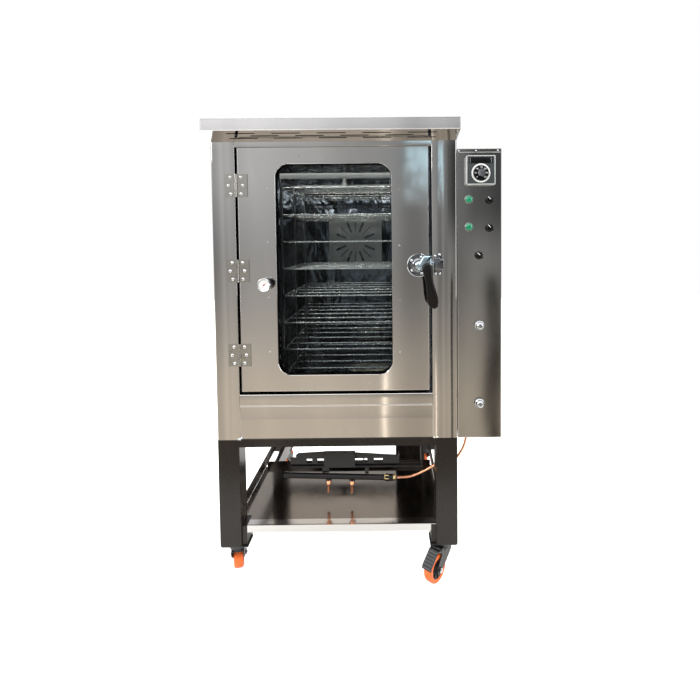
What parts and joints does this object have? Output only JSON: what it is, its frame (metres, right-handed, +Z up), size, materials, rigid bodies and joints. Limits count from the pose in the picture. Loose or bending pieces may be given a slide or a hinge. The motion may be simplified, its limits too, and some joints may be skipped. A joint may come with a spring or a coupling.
{
  "type": "rotating rack oven",
  "caption": "Gas convection oven with a glazed door and a rotating rack, a side control box, and a black stand with a lower shelf on swivel casters",
  "frame": {"origin": "on the floor under the middle of the whole oven's bounding box", "axes": "+X to the right of someone facing the door, +Y from the door to the back, +Z up"},
  "size_m": [0.97, 0.9636, 1.5636],
  "materials": {
    "outer_steel": "brushed stainless sheet with a vertical grain",
    "liner_steel": "bright stainless sheet, a little smoked",
    "bright_steel": "polished chrome",
    "rack_steel": "bright steel rod",
    "shelf_steel": "mirror-like stainless sheet",
    "black_paint": "satin black paint",
    "black_plastic": "satin black plastic",
    "caster_black": "black coated steel",
    "tread": "orange polyurethane tread, black hub",
    "window_glass": "clear heat-resistant glass",
    "green_lens": "green lens in a pale bezel",
    "dial_white": "white dial in a steel case",
    "burner_black": "heat-darkened steel",
    "copper": "copper tube",
    "wool": "mineral wool",
    "seal": "dark silicone",
    "cast_alloy": "grey cast alloy",
    "zinc": "zinc plated steel"
  },
  "bodies": {
    "oven": {"stand_legs": "black_paint", "stand_rails": "black_paint", "lower_shelf": "shelf_steel", "caster_plates": "caster_black", "side_panel_left": "outer_steel", "side_panel_right": "outer_steel", "back_panel": "outer_steel", "floor_pan": "outer_steel", "roof_hood": "outer_steel", "front_post_left": "outer_steel", "front_post_right": "outer_steel", "header_strip": "outer_steel", "kick_panel": "outer_steel", "cavity_liner": "liner_steel", "insulation": "wool", "fan_baffle": "liner_steel", "fan_guard": "liner_steel", "fan_motor": "cast_alloy", "rack_gearmotor": "cast_alloy", "hinge_leaves_fixed": "zinc", "latch_keeper": "bright_steel", "control_housing": "outer_steel", "control_fascia": "outer_steel", "temperature_controller": "black_plastic", "pilot_lights": "green_lens", "burner": "burner_black", "gas_manifold": "burner_black", "gas_tube": "copper", "service_box": "black_paint", "gas_inlet": "zinc"},
    "door": {"door_skin": "outer_steel", "door_inner": "liner_steel", "door_glass": "window_glass", "door_gasket": "seal", "hinge_leaves_door": "zinc", "thermometer": "dial_white", "latch_rosette": "bright_steel"},
    "lever": {"lever_hub": "bright_steel", "lever_grip": "black_plastic"},
    "needle": {"thermometer_needle": "black_plastic"},
    "dial": {"controller_dial": "black_plastic"},
    "knob_top": {"selector_knob_top": "black_plastic"},
    "knob_middle": {"selector_knob_middle": "black_plastic"},
    "knob_low": {"selector_knob_low": "black_plastic"},
    "gas_upper": {"gas_knob_upper": "bright_steel"},
    "gas_lower": {"gas_knob_lower": "bright_steel"},
    "rack": {"rack_frame": "rack_steel", "rack_spindle": "rack_steel", "wire_shelves": "rack_steel"},
    "fan": {"fan_wheel": "cast_alloy"},
    "fork_fl": {"caster_fork_fl": "caster_black"},
    "wheel_fl": {"caster_wheel_fl": "tread"},
    "fork_fr": {"caster_fork_fr": "caster_black"},
    "wheel_fr": {"caster_wheel_fr": "tread"},
    "fork_rl": {"caster_fork_rl": "caster_black"},
    "wheel_rl": {"caster_wheel_rl": "tread"},
    "fork_rr": {"caster_fork_rr": "caster_black"},
    "wheel_rr": {"caster_wheel_rr": "tread"},
    "pedal_fl": {"brake_pedal_fl": "caster_black"},
    "pedal_fr": {"brake_pedal_fr": "caster_black"}
  },
  "joints": [
    {"name": "door_hinge", "type": "hinge", "parent": "oven", "child": "door", "pos_m": [-0.4025, -0.40225, 1.0783], "axis": [0, 0, -1], "range_deg": [0, 120]},
    {"name": "lever_turn", "type": "hinge", "parent": "door", "child": "lever", "pos_m": [0.206, -0.41925, 1.0925], "axis": [0, 1, 0], "range_deg": [0, 90]},
    {"name": "needle_turn", "type": "hinge", "parent": "door", "child": "needle", "pos_m": [-0.307, -0.43725, 1.0335], "axis": [0, 1, 0], "range_deg": [-150, 110]},
    {"name": "dial_turn", "type": "hinge", "parent": "oven", "child": "dial", "pos_m": [0.412, -0.42125, 1.396], "axis": [0, 1, 0], "range_deg": [-40, 260]},
    {"name": "knob_top_turn", "type": "hinge", "parent": "oven", "child": "knob_top", "pos_m": [0.444, -0.40925, 1.309], "axis": [0, 1, 0], "range_deg": [0, 90]},
    {"name": "knob_middle_turn", "type": "hinge", "parent": "oven", "child": "knob_middle", "pos_m": [0.444, -0.40925, 1.216], "axis": [0, 1, 0], "range_deg": [0, 90]},
    {"name": "knob_low_turn", "type": "hinge", "parent": "oven", "child": "knob_low", "pos_m": [0.409, -0.40925, 1.124], "axis": [0, 1, 0], "range_deg": [0, 90]},
    {"name": "gas_upper_turn", "type": "hinge", "parent": "oven", "child": "gas_upper", "pos_m": [0.41, -0.40925, 0.887], "axis": [0, -1, 0], "range_deg": [0, 90]},
    {"name": "gas_lower_turn", "type": "hinge", "parent": "oven", "child": "gas_lower", "pos_m": [0.41, -0.40925, 0.62], "axis": [0, -1, 0], "range_deg": [0, 90]},
    {"name": "rack_spin", "type": "hinge", "parent": "oven", "child": "rack", "pos_m": [-0.075, -0.02325, 0.999], "axis": [0, 0, 1], "continuous": true},
    {"name": "fan_spin", "type": "hinge", "parent": "oven", "child": "fan", "pos_m": [-0.055, 0.32875, 1.172], "axis": [0, 1, 0], "continuous": true},
    {"name": "swivel_fl", "type": "hinge", "parent": "oven", "child": "fork_fl", "pos_m": [-0.436, -0.36625, 0.0976], "axis": [0, 0, 1], "continuous": true},
    {"name": "roll_fl", "type": "hinge", "parent": "fork_fl", "child": "wheel_fl", "pos_m": [-0.44842, -0.31989, 0.047], "axis": [-0.9659, -0.2588, 0], "continuous": true},
    {"name": "brake_fl", "type": "hinge", "parent": "fork_fl", "child": "pedal_fl", "pos_m": [-0.4448, -0.33341, 0.1056], "axis": [-0.9659, -0.2588, 0], "range_deg": [-12, 0]},
    {"name": "swivel_fr", "type": "hinge", "parent": "oven", "child": "fork_fr", "pos_m": [0.286, -0.36625, 0.0976], "axis": [0, 0, 1], "continuous": true},
    {"name": "roll_fr", "type": "hinge", "parent": "fork_fr", "child": "wheel_fr", "pos_m": [0.25515, -0.40302, 0.047], "axis": [0.766, -0.6428, 0], "continuous": true},
    {"name": "brake_fr", "type": "hinge", "parent": "fork_fr", "child": "pedal_fr", "pos_m": [0.26415, -0.3923, 0.1056], "axis": [0.766, -0.6428, 0], "range_deg": [-12, 0]},
    {"name": "swivel_rl", "type": "hinge", "parent": "oven", "child": "fork_rl", "pos_m": [-0.436, 0.33075, 0.0976], "axis": [0, 0, 1], "continuous": true},
    {"name": "roll_rl", "type": "hinge", "parent": "fork_rl", "child": "wheel_rl", "pos_m": [-0.42766, 0.37802, 0.047], "axis": [-0.9848, 0.1736, 0], "continuous": true},
    {"name": "swivel_rr", "type": "hinge", "parent": "oven", "child": "fork_rr", "pos_m": [0.286, 0.33075, 0.0976], "axis": [0, 0, 1], "continuous": true},
    {"name": "roll_rr", "type": "hinge", "parent": "fork_rr", "child": "wheel_rr", "pos_m": [0.26958, 0.37586, 0.047], "axis": [-0.9397, -0.342, 0], "continuous": true}
  ]
}
